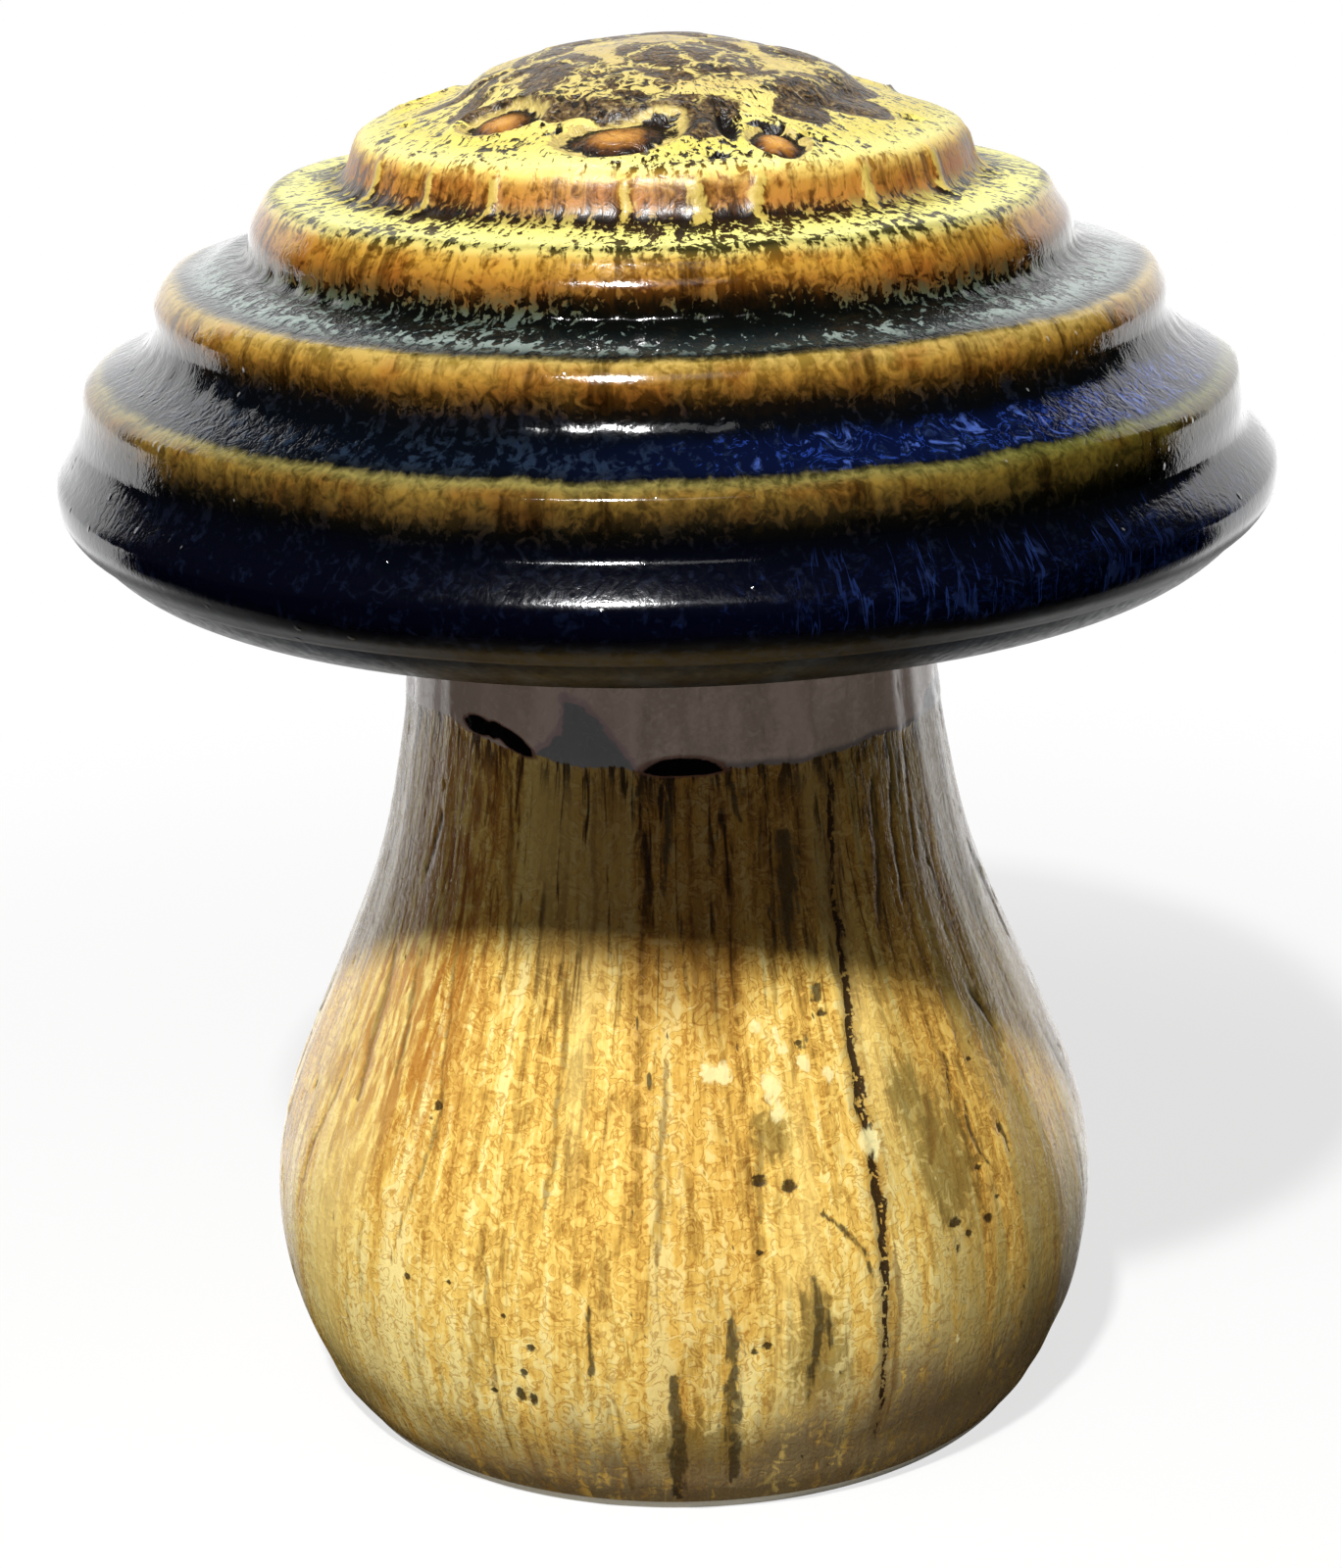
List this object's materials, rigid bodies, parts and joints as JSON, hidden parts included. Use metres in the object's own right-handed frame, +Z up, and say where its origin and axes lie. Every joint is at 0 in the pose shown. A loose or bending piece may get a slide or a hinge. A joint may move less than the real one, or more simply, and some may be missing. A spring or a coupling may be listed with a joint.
{
  "type": "mushroom ornament",
  "caption": "Free-standing glazed ceramic mushroom with a stepped, ridged cap that turns and lifts off a hollow pear-shaped stem.",
  "frame": {"origin": "centre of the base, on the surface that the ornament stands on", "axes": "+Z up along the axis of the stem and the cap; the pictured side faces -Y"},
  "size_m": [0.1248, 0.1248, 0.1442],
  "materials": {
    "felt": "matte felt",
    "stem_glaze": "glossy streaked glaze",
    "cork": "matte cork",
    "underside_glaze": "satin thin glaze",
    "cap_glaze": "glossy layered glaze"
  },
  "bodies": {
    "stem": {"stem": "stem_glaze", "base_pad": "felt"},
    "seat_ring": {"seat_ring": "cork"},
    "cap": {"cap_underside": "underside_glaze", "cap_dome": "cap_glaze"}
  },
  "joints": [
    {"name": "cap_turn", "type": "hinge", "parent": "stem", "child": "seat_ring", "pos_m": [0, 0, 0.092], "axis": [0, 0, 1], "continuous": true},
    {"name": "cap_lift", "type": "slide", "parent": "seat_ring", "child": "cap", "axis": [0, 0, 1], "range_m": [0, 0.03]}
  ]
}
